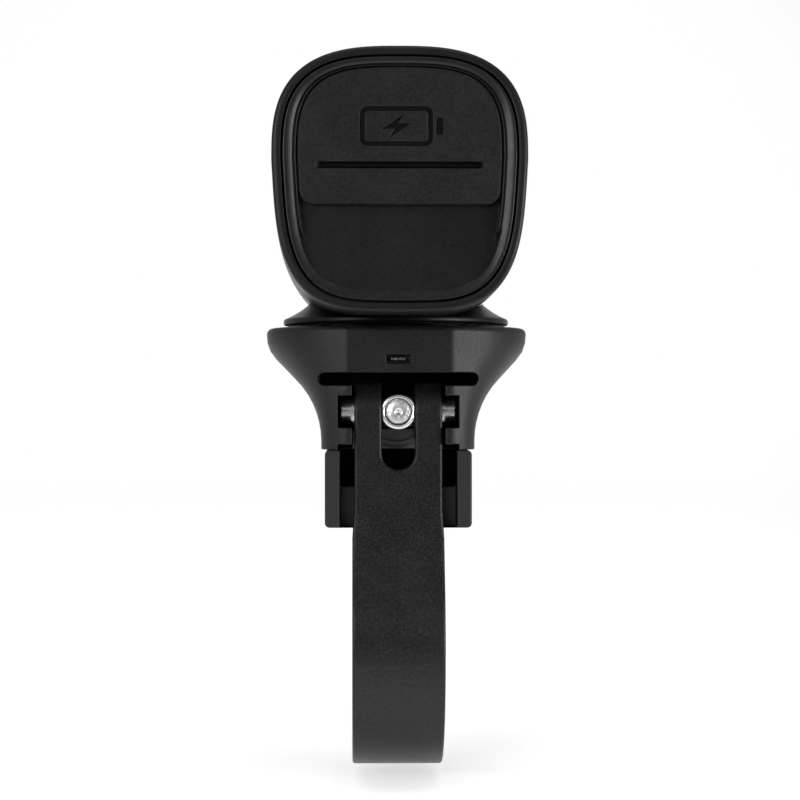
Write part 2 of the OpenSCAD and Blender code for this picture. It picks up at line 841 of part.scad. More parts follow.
module heat_sink() {
    spigot = shell_wall + 0.1;
    inner = shell_wall + 1.6;
    color([0.1, 0.1, 0.11])
        difference() {
            union() {
                head_prism(0, sink_y, sink_front);
                head_prism(spigot, sink_y - 3.4, sink_y + 1);
            }
            head_prism(inner, -far, plate_y);
            head_prism(inner, plate_y + sink_plate_t, far);
            for (k = [0 : sink_grooves - 1])
                along_y(sink_y + 1.4 + groove_pitch * k, sink_y + 1.4 + groove_pitch * k + groove_w)
                    difference() {
                        polygon(head_outline(-2));
                        polygon(head_outline(groove_d));
                    }
        }
}

module front_bezel() {
    spigot = shell_wall + 1.7;
    edge = 1;
    color([0.05, 0.05, 0.055])
        difference() {
            union() {
                skin([head_ring(bezel_front, edge * 0.8), head_ring(bezel_front - edge * 0.4, edge * 0.2),
                    head_ring(bezel_front - edge), head_ring(bezel_y)]);
                head_prism(spigot, led_y, bezel_y + 1);
            }
            head_prism(spigot + 1.2, -far, flange_y);
            head_prism(shell_wall + 0.6, flange_y - 0.1, seal_y);
            head_prism(lens_inset - seat_gap, seal_y - 0.1, lens_y + lens_t + seat_gap);
            head_prism(lens_inset + 1.4, -far, far);
        }
}

module lens() {
    color([0.85, 0.9, 0.95, 0.5])
        head_prism(lens_inset, lens_y, lens_y + lens_t);
}

module lens_seal() {
    color([0.1, 0.1, 0.1])
        difference() {
            head_prism(lens_inset, seal_y, seal_y + 0.8);
            head_prism(lens_inset + 1.2, -far, far);
        }
}

// The bowl's inner radius at a distance ahead of the emitter
function bowl_r(d) = throat_r + (reflector_r - throat_r) * sqrt(d / (flange_y - led_y));

module reflector() {
    wall = 0.8;
    steps = 12;
    reach = flange_y - led_y;
    inside = [for (k = [0 : steps]) let (d = reach * pow(k / steps, 2)) [bowl_r(d), d]];
    outside = [for (k = [steps : -1 : 0]) let (d = reach * pow(k / steps, 2)) [bowl_r(d) + wall, d]];
    color([0.9, 0.9, 0.92]) {
        translate([0, led_y, beam_z])
            rotate([-90, 0, 0])
                rotate_extrude()
                    polygon(concat(inside, outside));
        difference() {
            head_prism(shell_wall + 0.7, flange_y, seal_y - seat_gap);
            translate([0, 0, beam_z])
                rod_y(reflector_r, -far, far * 2);
        }
    }
}

module led_board() {
    color([0.9, 0.9, 0.85])
        translate([0, 0, beam_z])
            rod_y(led_board_r, led_board_y, led_board_y + board_t);
}

module led_emitter() {
    size = 3.4;
    color([0.95, 0.85, 0.3])
        translate([0, led_y, beam_z]) {
            box([-size / 2, 0, -size / 2], [size / 2, 0.7, size / 2]);
            intersection() {
                translate([0, 0.5, 0])
                    sphere(r = 1.4, $fn = 32);
                box([-2, 0.3, -2], [2, 3, 2]);
            }
        }
}

module battery_cell() {
    color([0.2, 0.35, 0.6])
        translate([0, 0, cell_z]) {
            rod_y(cell_r, cell_y, cell_front - 1);
            rod_y(terminal_r, cell_front - 1.5, cell_front);
        }
}

module cell_cradle() {
    color([0.2, 0.2, 0.2])
        difference() {
            box([-cradle_w / 2, cell_y, pad_z + seat_gap], [cradle_w / 2, cradle_front, cradle_top]);
            translate([0, 0, cell_z])
                rod_y(cell_r + seat_gap, -far, far);
            for (k = [0 : 2])
                translate([0, cell_y + cradle_rib + (cradle_rib + cradle_open) * k, 0])
                    box([-far, 0, pad_z + cradle_floor], [far, cradle_open, cradle_top + 1]);
        }
}

module main_board() {
    color([0.1, 0.35, 0.2])
        box([-board_w / 2, cell_y, board_z], [board_w / 2, shell_front - 6, board_z + board_t]);
}

module push_switch() {
    base = board_z + board_t + seat_gap;
    color([0.3, 0.3, 0.3])
        translate([0, button_y, base]) {
            box([-switch_w / 2, -switch_w / 2, 0], [switch_w / 2, switch_w / 2, switch_h]);
            cylinder(r = plunger_r, h = switch_top - base, $fn = 32);
        }
}

module button_frame() {
    color([0.1, 0.1, 0.1])
        difference() {
            top_stadium(button_len + 2 * frame_lip - 2 * seat_gap, button_w + 2 * frame_lip - 2 * seat_gap,
                frame_z, frame_z + frame_h, button_y);
            top_stadium(button_len + 0.6, button_w + 0.6, frame_z - 1, frame_z + frame_h + 1, button_y);
        }
}

module power_button() {
    plunger_low = switch_top + button_travel + 0.1;
    color([0.15, 0.15, 0.15]) {
        top_stadium(button_len, button_w, button_flange_z, button_top - 0.4, button_y);
        top_stadium(button_len - 0.8, button_w - 0.8, button_flange_z, button_top, button_y);
        top_stadium(button_len + 1.8, button_w + 1.8,
            button_flange_z, button_flange_z + flange_t, button_y);
        translate([0, button_y, plunger_low])
            cylinder(r = plunger_r + 0.4, h = button_flange_z - plunger_low + 0.1, $fn = 32);
    }
}

module status_window() {
    color([0.9, 0.95, 0.9, 0.6])
        top_stadium(status_len - 2 * seat_gap, status_w - 2 * seat_gap, shell_top - crown - 2.6,
            shell_top - 0.35, status_y);
}

// Side profile of what the cover's pocket and the finger scoop take out of the cap
module pocket_profile() {
    edge_y = rim_y - 1;
    low_y = rim_y + 0.05;
    scoop = [for (k = [0 : 12])
        let (t = k / 12)
        [low_y + (floor_y - low_y) * pow(sin(90 * t), 1.3), scoop_low + (tab_low - 0.15 - scoop_low) * t]];
    polygon(concat([[edge_y, waist_z + far], [edge_y, scoop_low]], scoop,
        [[floor_y, waist_z + far]]));
}

module rear_cap() {
    spigot = shell_wall + 0.1;
    seal_room = seal_t + 2 * seat_gap;
    cap_step = step_y - seal_room;
    color([0.04, 0.04, 0.045])
        difference() {
            union() {
                skin([head_ring(cap_step, cap_inset), head_ring(rim_y + 0.8, cap_inset),
                    head_ring(rim_y + 0.3, cap_inset + 0.15), head_ring(rim_y + 0.05, cap_inset + 0.5),
                    head_ring(rim_y, cap_inset + 1)]);
                difference() {
                    head_prism(spigot, cap_step - 1, cap_front);
                    head_prism(spigot + cap_wall, floor_y + cap_floor_t, far);
                }
                box([-port_w / 2 - 1.4, floor_y, port_z - port_h / 2 - 1.4],
                    [port_w / 2 + 1.4, cap_front, port_z + port_h / 2 + 1.4]);
            }
            intersection() {
                head_prism(pocket_inset, -far, far, pocket_lift);
                along_x(far)
                    pocket_profile();
            }
            along_y(-far, port_y)
                translate([0, port_z])
                    polygon(round_rect(port_w, port_h, 1.2));
            along_y(-far, far)
                translate([0, port_z])
                    polygon(round_rect(socket_w + 2 * seat_gap, socket_h + 2 * seat_gap,
                        socket_h / 2 - 0.01));
            at_cap_screws() {
                rod_y(cap_screw_r + seat_gap, -far, far);
                rod_y(cap_head_r + 0.1, -far, floor_y + cap_head_h + seat_gap);
                rod_y(lug_r + 0.2, cap_low_y() - 0.1, far);
            }
            for (s = [-1, 1])
                box([min(s * cap_screw_x, s * far), cap_low_y() - 0.1, cap_screw_z - 1],
                    [max(s * cap_screw_x, s * far), far, cap_screw_z + 1]);
        }
}

module rear_seal() {
    color([0.1, 0.1, 0.1])
        difference() {
            head_prism(ring_w + 0.1, step_y - seal_t - seat_gap, step_y - seat_gap);
            head_prism(shell_wall + 0.05, -far, far);
        }
}

module cap_screws() {
    color([0.7, 0.7, 0.72])
        at_cap_screws() {
            rod_y(cap_head_r, floor_y + seat_gap, floor_y + cap_head_h);
            rod_y(cap_screw_r, floor_y + cap_head_h - 0.1, lug_front - 0.5);
        }
}

// A slab of the rubber cover, between two heights
module cover_slab(z0, z1) {
    intersection() {
        head_prism(cover_inset, cover_y, cover_y + cover_t, pocket_lift);
        box([-far, -far, z0], [far, far, z1]);
    }
}

module port_cover() {
    color([0.08, 0.08, 0.08])
        difference() {
            cover_slab(hinge_z + hinge_gap - 0.2, far * 2);
            translate([0, hinge_y, hinge_z])
                rod_x(bead_r + run_gap, groove_len);
        }
}

module port_tab() {
    top = hinge_z - hinge_gap;
    bevel = 0.3;
    color([0.08, 0.08, 0.08])
        intersection() {
            head_prism(cover_inset, cover_y, cover_y + cover_t, pocket_lift);
            union() {
                difference() {
                    along_y(-far, far)
                        translate([0, tab_low + tab_h])
                            polygon(round_rect(head_w - 2 * cover_inset - 0.1, 2 * tab_h, tab_corner_r));
                    box([-far, -far, top], [far, far, far * 2]);
                    along_x(far)
                        polygon([[cover_y - 1, top + 1], [cover_y - 1, top - bevel - 1],
                            [cover_y + bevel + 1, top + 1]]);
                }
                translate([0, hinge_y, hinge_z])
                    rod_x(bead_r, groove_len - 0.2);
                box([-groove_len / 2 + 0.1, hinge_y - 0.15, top - 0.4],
                    [groove_len / 2 - 0.1, hinge_y + bead_r - 0.05, hinge_z]);
            }
        }
}

module port_board() {
    color([0.1, 0.35, 0.2])
        box([-port_board_w / 2, port_board_y, port_z - port_board_h / 2],
            [port_board_w / 2, port_board_y + board_t, port_z + port_board_h / 2]);
}

module socket_shell() {
    color([0.8, 0.8, 0.82])
        along_y(port_y - 0.3, port_board_y - seat_gap)
            translate([0, port_z])
                difference() {
                    polygon(round_rect(socket_w, socket_h, socket_h / 2 - 0.01));
                    polygon(round_rect(socket_w - 2 * socket_wall, socket_h - 2 * socket_wall,
                        socket_h / 2 - socket_wall - 0.01));
                }
}

module socket_tongue() {
    color([0.15, 0.15, 0.15])
        box([-tongue_w / 2, port_y + 0.4, port_z - tongue_t / 2],
            [tongue_w / 2, port_board_y - seat_gap, port_z + tongue_t / 2]);
}

bracket_body();
saddle_shoe();
barrel_nut();
detent_spring();
swivel_washer();
strap();
knob_washer();
clamp_bolt();
clamp_knob();
head_shell();
swivel_foot();
foot_screws();
pivot_screw();
pivot_washer();
heat_sink();
front_bezel();
lens();
lens_seal();
reflector();
led_board();
led_emitter();
battery_cell();
cell_cradle();
main_board();
push_switch();
button_frame();
status_window();
rear_cap();
rear_seal();
cap_screws();
port_cover();
port_board();
socket_shell();
socket_tongue();
power_button();
port_tab();
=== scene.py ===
import math

import bmesh
import bpy
import numpy as np
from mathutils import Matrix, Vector


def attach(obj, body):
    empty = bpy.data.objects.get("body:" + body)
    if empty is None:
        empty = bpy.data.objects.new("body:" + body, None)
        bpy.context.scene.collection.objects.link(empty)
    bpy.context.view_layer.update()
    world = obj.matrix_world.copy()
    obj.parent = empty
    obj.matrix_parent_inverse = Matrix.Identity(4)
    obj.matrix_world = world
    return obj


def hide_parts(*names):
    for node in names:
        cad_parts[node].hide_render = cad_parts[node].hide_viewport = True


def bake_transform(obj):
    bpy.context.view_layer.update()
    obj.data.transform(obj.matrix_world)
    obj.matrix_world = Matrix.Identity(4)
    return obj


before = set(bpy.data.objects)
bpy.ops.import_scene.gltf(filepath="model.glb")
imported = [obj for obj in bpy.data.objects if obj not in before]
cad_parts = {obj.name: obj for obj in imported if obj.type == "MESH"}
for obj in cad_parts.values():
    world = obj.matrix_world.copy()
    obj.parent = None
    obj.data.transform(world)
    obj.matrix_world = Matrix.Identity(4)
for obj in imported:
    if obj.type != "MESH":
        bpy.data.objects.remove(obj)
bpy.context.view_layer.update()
MM = 0.001
RING_N = 256

# Sizes in millimetres: the head's outline, whose halves are superellipses, and its shell
HALF_W = 18.53
TOP_H = 16.3
WAIST = 22.1
TOP_SQUARE = 2.85
LOW_SQUARE = 3.6
INSET_SQUARE = 0.1
LOW_TAPER = 0.065
CROWN = 0.6
HEAD_Z = 49.55
WAIST_Z = HEAD_Z + WAIST
HEAD_BACK = 26.0
SHELL_FRONT = 45.0
SHELL_EDGE = 0.7
FRONT_EDGE = 0.3
FRONT_INSET = 0.25
RING = 1.33
WALL = 2.0
LIP = 0.06
LIP_MID = 0.02
OVER_HEAD = 95
BUTTON_HOLE = {"width": 10.6, "length": 18.0, "y": 4.0}
LIGHT_HOLE = {"width": 1.8, "length": 7.0, "y": -11.0}

# The port cover with its tab, groove and sign
COVER_INSET = 3.73
COVER_Y = -25.75
COVER_T = 1.8
COVER_EDGE = 0.35
HINGE_Z = 70.75
TAB_LOW = 65.1
TAB_CORNER = 1.9
GROOVE_ROWS = 0.62
GROOVE_HALF = 0.52
GROOVE_DEEP = 0.85
# Depths and half height of the band in the groove that takes painted shade
GROOVE_SHADE = (0.3, 1.0)
GROOVE_SHADE_HALF = 0.6
GROOVE_END = 11.6
GROOVE_RUNOUT = 12.05
SIGN_X = -0.5
SIGN_Z = 76.3
SIGN_DEEP = 0.3

# The rear cap with its rim, pocket and finger scoop, and the mouths of the charging port
CAP_INSET = 1.68
POCKET_INSET = 3.63
POCKET_LIFT = 0.6
RIM_Y = -26.15
RIM_FOOT_Y = -23.7
RIM_CREST = 1.8
ROLL_END = 2.95
ROLL_CURVE = 0.265
SPIGOT_INSET = 2.1
SPIGOT_Y = -19.0
STEP_Y = -23.2
FLOOR_Y = -23.9
SCOOP_LOW = HEAD_Z + 2
SCOOP_TOP = TAB_LOW - 0.15
SCOOP_EDGE_Y = RIM_Y + 0.05
SCOOP_POWER = 1.3
SCOOP_MIDDLE_Z = 66.0
RIDGE_FADE = (60.0, 61.6)
PORT_Y = -19.3
PORT_Z = 67.775
PORT_MOUTH = (12.6, 4.35, 1.2)
SOCKET_MOUTH = (9.0, 3.36, 1.67)
SOCKET_CUT = (-22, -10)
BEHIND_CAP = -30

# The swivel foot
FOOT_Z = 48.7
FOOT_R = 17.9
FOOT_EDGE = 0.95
FLARE_R = 12.0
FLARE_FROM = 20
FLARE_TO = 52
NECK_R = 5.0
NECK_LOW = 41.85
SWIVEL_Y = 8.0
FOOT_GAP = 0.05

# The clamp bolt and the spring's tip
BARREL_Z = 35.15
BOLT_R = 2.0
BOLT_TIP = -13.95
BOLT_END = 28.75
TIP_CHAMFER = 0.25
THREAD_END = 19.3
THREAD_PITCH = 0.7
THREAD_RIDGE = 0.2
BOLT_N = 64
WINDOW_Z = 43.03
LEAF_W = 2.2
LEAF_T = 0.45
LEAF_Y = -14.1
RIB_COUNT = 6
RIB_W = 0.2
RIB_DEEP = 0.24

# Angles in degrees over which an edge stays sharp
SHARP = 40
SHARP_CAP = 50
SHARP_SKIN = 35


# Finishes

class Val:
    """A node's socket that takes part in sums."""

    def __init__(self, graph, socket):
        self.graph, self.socket = graph, socket

    def _math(self, op, a, b):
        return self.graph.node("ShaderNodeMath", {"operation": op}, {0: a, 1: b})

    def __add__(self, other):
        return self._math("ADD", self, other)

    def __rsub__(self, other):
        return self._math("SUBTRACT", other, self)

    def __mul__(self, other):
        return self._math("MULTIPLY", self, other)

    def __truediv__(self, other):
        return self._math("DIVIDE", self, other)


class Graph:
    """A node tree, and the one way in which nodes are added to it."""

    def __init__(self, tree):
        self.tree = tree

    def node(self, kind, settings=None, sockets=None, out=0):
        made = self.tree.nodes.new(kind)
        for key, value in (settings or {}).items():
            if key == "stops":
                for _ in value[2:]:
                    made.color_ramp.elements.new(0.5)
                for stop, (at, shade) in zip(made.color_ramp.elements, value):
                    stop.position, stop.color = at, grey(shade)
            else:
                setattr(made, key, value)
        for key, value in (sockets or {}).items():
            if isinstance(value, Val):
                self.tree.links.new(value.socket, made.inputs[key])
            else:
                made.inputs[key].default_value = value
        return Val(self, made.outputs[out]) if made.outputs else None


class Finish(Graph):
    """A material with one surface shader, and the nodes that feed it."""

    def __init__(self, name, **fixed):
        self.material = bpy.data.materials.new(name)
        self.material.use_nodes = True
        super().__init__(self.material.node_tree)
        self.shader = self.tree.nodes["Principled BSDF"]
        self.place = self.node("ShaderNodeTexCoord", out="Object")
        for socket, value in fixed.items():
            self.shader.inputs[socket.replace("_", " ")].default_value = value

    def feed(self, **sockets):
        for socket, value in sockets.items():
            self.tree.links.new(value.socket, self.shader.inputs[socket.replace("_", " ")])

    def noise(self, scale, detail=2.0, stretch=None):
        place = self.place
        if stretch:
            place = self.node("ShaderNodeMapping", None, {"Vector": place, "Scale": stretch})
        return self.node("ShaderNodeTexNoise", None,
                         {"Vector": place, "Scale": scale, "Detail": detail, "Roughness": 0.55})

    def mix(self, low, high, share):
        return self.node("ShaderNodeMix", {"data_type": "RGBA"}, {0: share, 6: low, 7: high}, out=2)

    def span(self, value, low, high, to_low=0.0, to_high=1.0):
        return self.node("ShaderNodeMapRange", {"interpolation_type": "SMOOTHSTEP"},
                         {"Value": value, "From Min": low, "From Max": high,
                          "To Min": to_low, "To Max": to_high})

    def axis(self, number):
        return self.node("ShaderNodeSeparateXYZ", None, {0: self.place}, out=number)

    def soft_edge(self, radius):
        return self.node("ShaderNodeBevel", {"samples": 6}, {"Radius": radius})

    def bump(self, strength, distance, height, normal):
        return self.node("ShaderNodeBump", None, {"Strength": strength, "Distance": distance,
                                                  "Height": height, "Normal": normal})


def grey(value):
    return (value, value, value, 1.0)


def shaded(tone, by):
    return grey(tone * by) if isinstance(tone, float) else (*(c * by for c in tone), 1.0)


def moulded(name, tone, rough, grain, size, edge=0.00022, patch=0.25, worn=None, below=None, **fixed):
    """Plastic or rubber: grain of a size in metres, faint patches, and a painted highlight that makes
    edges lighter.
    The edge tone is the tone of that painted highlight; given a height and a tone, a painted light gives
    the finish that lighter tone under the height."""
    f = Finish(name, **fixed)
    fine = f.noise(1 / size, 3.0)
    broad = f.noise(140.0, 3.0)
    speck = f.span(fine, 0.35, 0.72)
    colour = f.mix(shaded(tone, 1 - patch), shaded(tone, 1 + patch), broad * 0.5 + speck * 0.5)
    soft = f.soft_edge(edge)
    # Painted highlight: edges turn lighter where the bevelled normal turns away from the true one, more
    # so in some patches
    if worn:
        true = f.node("ShaderNodeNewGeometry", out="Normal")
        turn = f.node("ShaderNodeVectorMath", {"operation": "DOT_PRODUCT"}, {0: soft, 1: true}, out=1)
        highlight_share = f.span(1 - turn, 0.03, 0.25) * f.span(broad, 0.2, 0.7, 0.5, 1.0)
        colour = f.mix(colour, grey(worn), highlight_share)
    # Painted light: under the given height the colour turns to a lighter tone
    if below:
        height, lit_tone = below
        colour = f.mix(colour, grey(lit_tone), f.span(f.axis(2), height, height - 0.0004))
    f.feed(Base_Color=colour,
           Roughness=f.span(fine * 0.6 + broad * 0.4, 0.25, 0.75, rough - 0.07, rough + 0.08),
           Normal=f.bump(grain, 0.00003, fine, soft))
    return f.material


def black(name, tone, rough, grain, size, mirror=0.3, **more):
    """Black plastic or rubber, which mirrors less than clear plastic does."""
    return moulded(name, tone, rough, grain, size, Specular_IOR_Level=mirror, **more)


def metal(name, tone, rough, lines, along, edge=0.00012, deep=0.00001):
    """Turned or rolled metal with fine lines, deep in metres, drawn out where along is small."""
    f = Finish(name, Metallic=1.0)
    streak = f.noise(1400.0, 3.0, along)
    cloud = f.noise(260.0, 2.0)
    f.feed(Base_Color=f.mix(grey(tone * 0.86), grey(tone), streak * 0.7 + cloud * 0.3),
           Roughness=f.span(streak * 0.5 + cloud * 0.5, 0.3, 0.7, rough * 0.75, rough * 1.3),
           Normal=f.bump(lines, deep, streak, f.soft_edge(edge)))
    return f.material


EVEN = (1.0, 1.0, 1.0)
# Where a finish is given an edge tone, that tone is a painted highlight along its edges
bracket_black = black("bracket_black", tone=0.006, rough=0.44, grain=0.8, size=0.00034,
                      mirror=0.27, patch=0.95, worn=0.03)
# Painted shade: a near black, dull finish for faces deep in the bracket's slot and inside the shoe, where
# shade falls
recess_black = black("recess_black", tone=0.001, rough=0.7, grain=0.3, size=0.0003, mirror=0.06)
# Painted shade deep under the nut, with painted light on the ledges below a height
ledge_black = black("ledge_black", tone=0.001, rough=0.7, grain=0.3, size=0.0003,
                    mirror=0.06, edge=0.0004, below=(0.0326, 0.24))
shell_black = black("shell_black", tone=0.003, rough=0.42, grain=0.16, size=0.00014,
                    mirror=0.26, edge=0.00008)
gloss_black = black("gloss_black", tone=0.004, rough=0.28, grain=0.06, size=0.0003)
foot_black = black("foot_black", tone=0.003, rough=0.36, grain=0.06, size=0.0003, mirror=0.2, worn=0.06)
cap_black = black("cap_black", tone=0.004, rough=0.42, grain=0.4, size=0.0003, mirror=0.23, patch=0.9)
rim_black = black("rim_black", tone=0.003, rough=0.36, grain=0.03, size=0.0006,
                  mirror=0.4, edge=0.00005)
cover_rubber = black("cover_rubber", tone=0.007, rough=0.56, grain=1.0, size=0.00034,
                     mirror=0.2, edge=0.0003, patch=0.95, worn=0.03)
shoe_rubber = black("shoe_rubber", tone=0.012, rough=0.55, grain=0.3, size=0.0002,
                    edge=0.0003, worn=0.06)
strap_rubber = black("strap_rubber", tone=0.008, rough=0.38, grain=1.0, size=0.00036,
                     mirror=0.26, edge=0.0004, patch=0.95, worn=0.14)
button_rubber = black("button_rubber", tone=0.016, rough=0.6, grain=0.8, size=0.0003,
                      patch=0.6, worn=0.04)
bright_steel = metal("bright_steel", tone=0.8, rough=0.3, lines=1.0, along=EVEN, deep=0.00014)
polished_steel = metal("polished_steel", tone=0.95, rough=0.25, lines=0.3, along=(0.05, 1.0, 1.0))
zinc_steel = metal("zinc_steel", tone=0.7, rough=0.3, lines=0.2, along=(1.0, 0.05, 1.0))
spring_steel = metal("spring_steel", tone=0.12, rough=0.35, lines=0.2, along=(1.0, 0.08, 1.0))
fin_metal = metal("fin_metal", tone=0.05, rough=0.42, lines=0.2, along=(1.0, 0.06, 1.0))
bowl_mirror = metal("bowl_mirror", tone=0.9, rough=0.08, lines=0.5, along=EVEN, deep=0.00003)
nylon_white = moulded("nylon_white", tone=0.55, rough=0.5, grain=0.2, size=0.0003, patch=0.06)
board_green = moulded("board_green", tone=(0.012, 0.09, 0.035), rough=0.35, grain=0.1, size=0.0006,
                      patch=0.4)
board_white = moulded("board_white", tone=0.62, rough=0.45, grain=0.1, size=0.0003, patch=0.05)
phosphor = moulded("phosphor", tone=(0.75, 0.52, 0.06), rough=0.3, grain=0.1, size=0.0002, patch=0.1)
cell_wrap = moulded("cell_wrap", tone=(0.02, 0.09, 0.26), rough=0.3, grain=0.1, size=0.0004)
lens_clear = moulded("lens_clear", tone=0.9, rough=0.05, grain=0.02, size=0.0006, patch=0.02,
                     Transmission_Weight=1.0, IOR=1.5)
window_milk = moulded("window_milk", tone=0.3, rough=0.35, grain=0.15, size=0.0003, patch=0.1)
# Painted shade: a darker, duller rubber for the groove's deep faces, which the sunk sign takes too
sign_black = black("sign_black", tone=0.002, rough=0.5, grain=0.2, size=0.00012, mirror=0.1)


# Forms

def circle(n):
    t = np.arange(n) * 2 * np.pi / n
    return np.cos(t), np.sin(t)


def outline(inset=0.0, grow=0.0, lift=0.0):
    """The head's outline as (x, z): drawn in by inset, swollen by grow, raised at its top by lift."""
    c, s = circle(RING_N)
    up = s > 0
    a = HALF_W - inset + grow
    b = np.where(up, TOP_H - inset + grow + lift, WAIST - inset)
    e = 2 / (np.where(up, TOP_SQUARE, LOW_SQUARE) + INSET_SQUARE * inset)
    rise = np.abs(s) ** e
    narrow = np.where(up, 1.0, 1 - LOW_TAPER * rise)
    return np.stack([np.sign(c) * a * np.abs(c) ** e * narrow, WAIST_Z + np.sign(s) * b * rise], 1)


def ring(y, inset=0.0, grow=0.0, lift=0.0):
    p = outline(inset, grow, lift)
    return np.stack([p[:, 0], np.full(len(p), y), p[:, 1]], 1)


def swell(y):
    """How far the shell's sides bulge at a place along the head."""
    mid = (SHELL_FRONT - HEAD_BACK) / 2
    return CROWN * (1 - ((y - mid) / (SHELL_FRONT - mid)) ** 2)


def link(name, data):
    """A new object in the scene, from a mesh, a light or a camera."""
    made = bpy.data.objects.new(name, data)
    bpy.context.scene.collection.objects.link(made)
    return made


def smoothed(mesh, smooth):
    """Smooth shading but for edges over an angle in degrees."""
    mesh.shade_smooth()
    mesh.set_sharp_from_angle(angle=math.radians(smooth))


def dress(mesh, material):
    mesh.materials.clear()
    mesh.materials.append(material)


def add(name, points, faces, material, smooth=SHARP):
    """A new object from points in millimetres, smooth but for edges over an angle."""
    mesh = bpy.data.meshes.new(name)
    mesh.from_pydata([tuple(float(v) * MM for v in p) for p in points], [], faces)
    b = bmesh.new()
    b.from_mesh(mesh)
    bmesh.ops.remove_doubles(b, verts=b.verts, dist=1e-7)
    bmesh.ops.recalc_face_normals(b, faces=b.faces)
    b.to_mesh(mesh)
    b.free()
    smoothed(mesh, smooth)
    dress(mesh, material)
    return link(name, mesh)


def tube_faces(count, n, closed):
    """Quads between rings of n points; closed joins the last ring to the first."""
    faces = []
    for k in range(count if closed else count - 1):
        a, b = k * n, (k + 1) % count * n
        faces += [(a + i, a + (i + 1) % n, b + (i + 1) % n, b + i) for i in range(n)]
    return faces


def capped(rings):
    """A tube through rings of points with both its ends closed, as points and faces."""
    count, n = len(rings), len(rings[0])
    ends = [tuple(range(n)), tuple(range((count - 1) * n, count * n))]
    return np.concatenate(rings), tube_faces(count, n, False) + ends


def bake(piece):
    """Turns a piece's modifiers into plain mesh."""
    shown = piece.evaluated_get(bpy.context.evaluated_depsgraph_get())
    mesh = bpy.data.meshes.new_from_object(shown)
    piece.modifiers.clear()
    piece.data = mesh
    return piece


def cut(piece, tool, smooth=SHARP):
    """Takes a closed tool out of a piece."""
    m = piece.modifiers.new("cut", "BOOLEAN")
    m.operation, m.solver, m.object, m.material_mode = "DIFFERENCE", "EXACT", tool, "TRANSFER"
    bake(piece)
    bpy.data.objects.remove(tool)
    smoothed(piece.data, smooth)


def prism(points, low, high, axis):
    """A closed prism of a polygon, along Y or Z, as points and faces."""
    if axis == "y":
        rings = [[(x, h, z) for x, z in points] for h in (low, high)]
    else:
        rings = [[(x, y, h) for x, y in points] for h in (low, high)]
    return capped(rings)


def round_rect(w, h, r, cx=0.0, cy=0.0, steps=10):
    points = []
    for q, (sx, sy) in enumerate(((1, 1), (-1, 1), (-1, -1), (1, -1))):
        for k in range(steps + 1):
            a = math.radians(90 * q + 90 * k / steps)
            points.append((cx + sx * (w / 2 - r) + r * math.cos(a),
                           cy + sy * (h / 2 - r) + r * math.sin(a)))
    return points


def place(piece, body, slot, *nodes):
    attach(piece, body)
    if nodes:
        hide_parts(*nodes)
    return piece


def softened(node, material, body, slot, edge):
    """A welded copy of a node with its own finish, smooth on curves and rounded at sharp edges."""
    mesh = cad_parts[node].data.copy()
    b = bmesh.new()
    b.from_mesh(mesh)
    bmesh.ops.remove_doubles(b, verts=b.verts, dist=2e-6)
    bmesh.ops.dissolve_degenerate(b, edges=b.edges, dist=1e-6)
    if edge:
        bmesh.ops.dissolve_limit(b, angle_limit=math.radians(0.4), verts=b.verts, edges=b.edges)
        over = math.radians(SHARP_SKIN)
        sharp = [e for e in b.edges if e.is_manifold and e.calc_face_angle() > over]
        bmesh.ops.bevel(b, geom=sharp, offset=edge * MM, offset_type="OFFSET", segments=3, profile=0.5,
                        affect="EDGES", clamp_overlap=False)
    b.to_mesh(mesh)
    b.free()
    for attribute in ("custom_normal", "sharp_face", "sharp_edge"):
        if attribute in mesh.attributes:
            mesh.attributes.remove(mesh.attributes[attribute])
    smoothed(mesh, SHARP_SKIN)
    dress(mesh, material)
    piece = link(node + "_skin", mesh)
    if edge:
        weighted = piece.modifiers.new("level", "WEIGHTED_NORMAL")
        weighted.keep_sharp = True
        bake(piece)
    return place(piece, body, slot, node)


def paint_light_and_shade_in_box(piece, low, high, rear, material):
    """Gives a piece's faces in a box, in millimetres, their own finish, which paints shade on them, and
    on some ledges light.
    Faces that look back and lie behind rear keep theirs."""
    piece.data.materials.append(material)
    for face in piece.data.polygons:
        boxed = all(a < c / MM < b for a, c, b in zip(low, face.center, high))
        if boxed and (face.normal.y > -0.25 or face.center.y > rear * MM):
            face.material_index = len(piece.data.materials) - 1


# Head shell

def shell_rings(gap=0.0):
    """Rings of the shell's outer form, from its rear face to its front, grown by a gap."""
    rings = []
    for a in np.radians(np.linspace(90, 0, 9)):
        rings.append(ring(-HEAD_BACK + SHELL_EDGE * (1 - math.sin(a)),
                          SHELL_EDGE * (1 - math.cos(a)) - gap))
    end = SHELL_FRONT - FRONT_EDGE
    rings += [ring(y, -gap, swell(y)) for y in np.linspace(-HEAD_BACK + SHELL_EDGE, end, 24)[1:]]
    return rings + [ring(SHELL_FRONT, FRONT_INSET - gap, swell(end))]


def head_shell():
    inner = [ring(SHELL_FRONT, WALL), ring(STEP_Y, WALL), ring(STEP_Y, RING),
             ring(-HEAD_BACK + LIP, RING), ring(-HEAD_BACK + LIP_MID, RING - LIP_MID),
             ring(-HEAD_BACK, RING - LIP)]
    rings = shell_rings() + inner
    faces = tube_faces(len(rings), RING_N, True)
    shell = add("head_shell_skin", np.concatenate(rings), faces, shell_black)
    for hole in (BUTTON_HOLE, LIGHT_HOLE):
        corner = hole["width"] / 2 - 0.01
        form = round_rect(hole["width"], hole["length"], corner, 0, hole["y"])
        cut(shell, add("tool", *prism(form, WAIST_Z, OVER_HEAD, "z"), shell_black))
    place(shell, "head", "shell_plastic", "head_shell")


# Rear cap: a polar grid whose depth follows the rim, the pocket and the finger scoop

def step(low, high, value):
    t = np.clip((value - low) / (high - low), 0, 1)
    return t * t * (3 - 2 * t)


